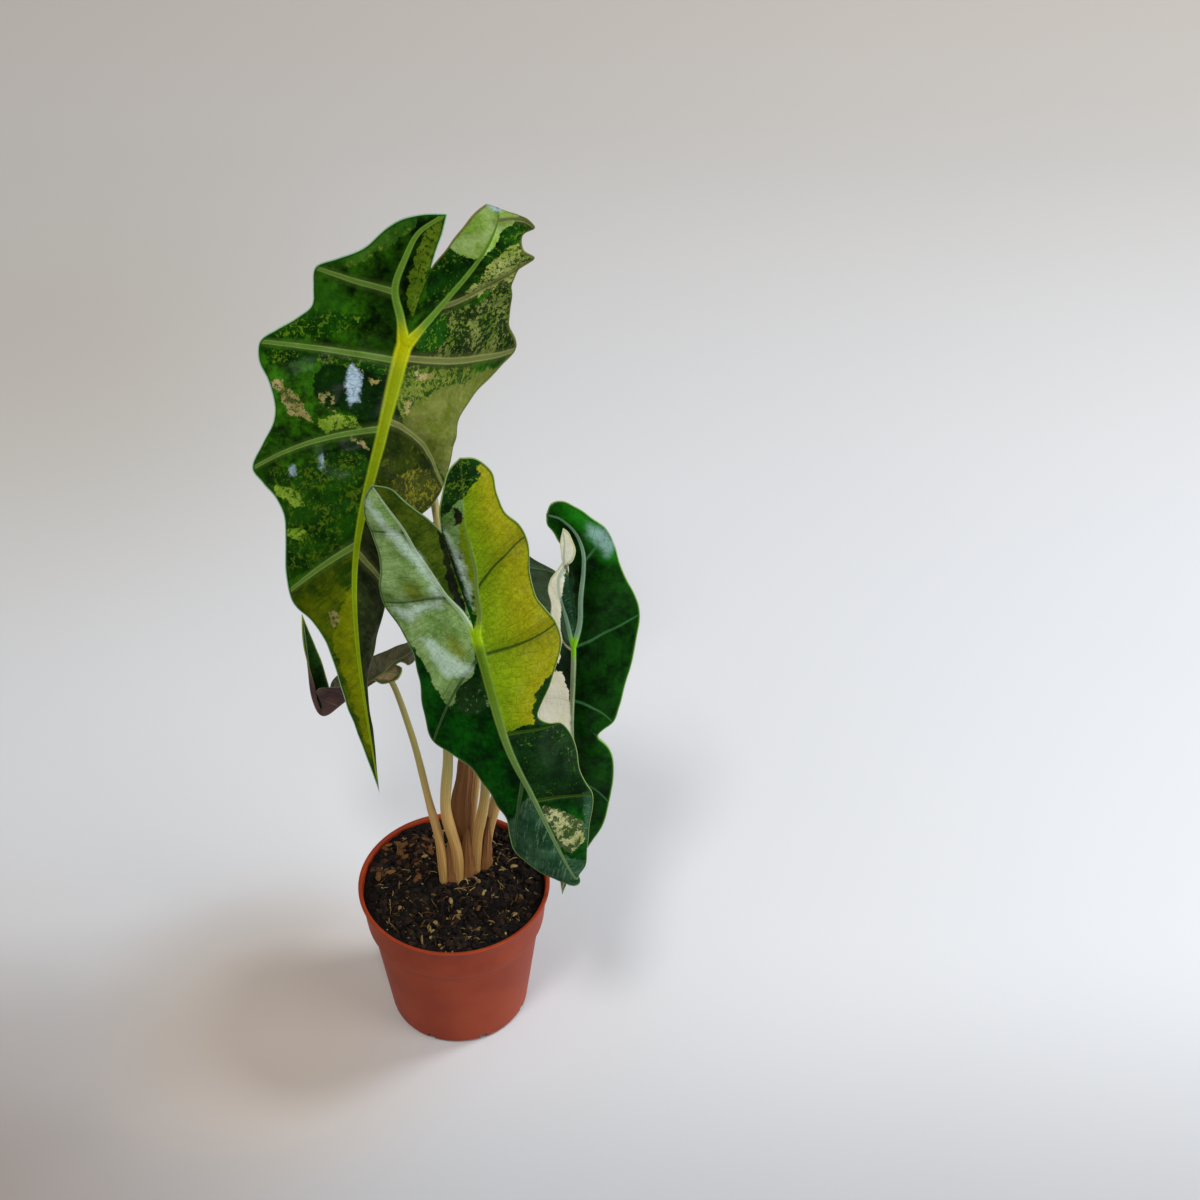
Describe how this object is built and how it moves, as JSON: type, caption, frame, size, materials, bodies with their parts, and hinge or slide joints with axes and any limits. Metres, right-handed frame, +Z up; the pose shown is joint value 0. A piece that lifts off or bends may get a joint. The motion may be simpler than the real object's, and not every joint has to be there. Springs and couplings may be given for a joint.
{
  "type": "potted alocasia",
  "caption": "Young variegated alocasia with arrow-shaped, wavy leaves on thin stalks, growing in a round terracotta-coloured plastic nursery pot.",
  "frame": {"origin": "middle of the pot's flat base, on the surface that it stands on", "axes": "+Z up, +X to the right and -Y towards a viewer who sees the tall leaf on the left"},
  "size_m": [0.1886, 0.173, 0.4744],
  "materials": {
    "pot": "matte terracotta-coloured plastic",
    "soil": "dark potting mix of peat, bark and fibre",
    "corm": "brown, rough skin",
    "dry_sheath": "dry, matte, red-brown",
    "stalk": "smooth, yellow-green, pinkish at the foot",
    "blade_tall": "glossy, deep green and olive, marbled",
    "blade_front": "glossy, lime, silver-green and dark green",
    "blade_right": "glossy, dark green with cream sectors",
    "blade_back": "satin, grey-green",
    "blade_small": "satin, dark green above and purple-brown below"
  },
  "bodies": {
    "root": {"pot": "pot", "soil": "soil", "corm": "corm", "dry_sheath": "dry_sheath", "stalk_tall": "stalk", "blade_tall": "blade_tall", "stalk_front": "stalk", "blade_front": "blade_front", "stalk_right": "stalk", "blade_right": "blade_right", "stalk_back": "stalk", "blade_back": "blade_back", "stalk_small": "stalk", "blade_small": "blade_small"}
  },
  "joints": []
}
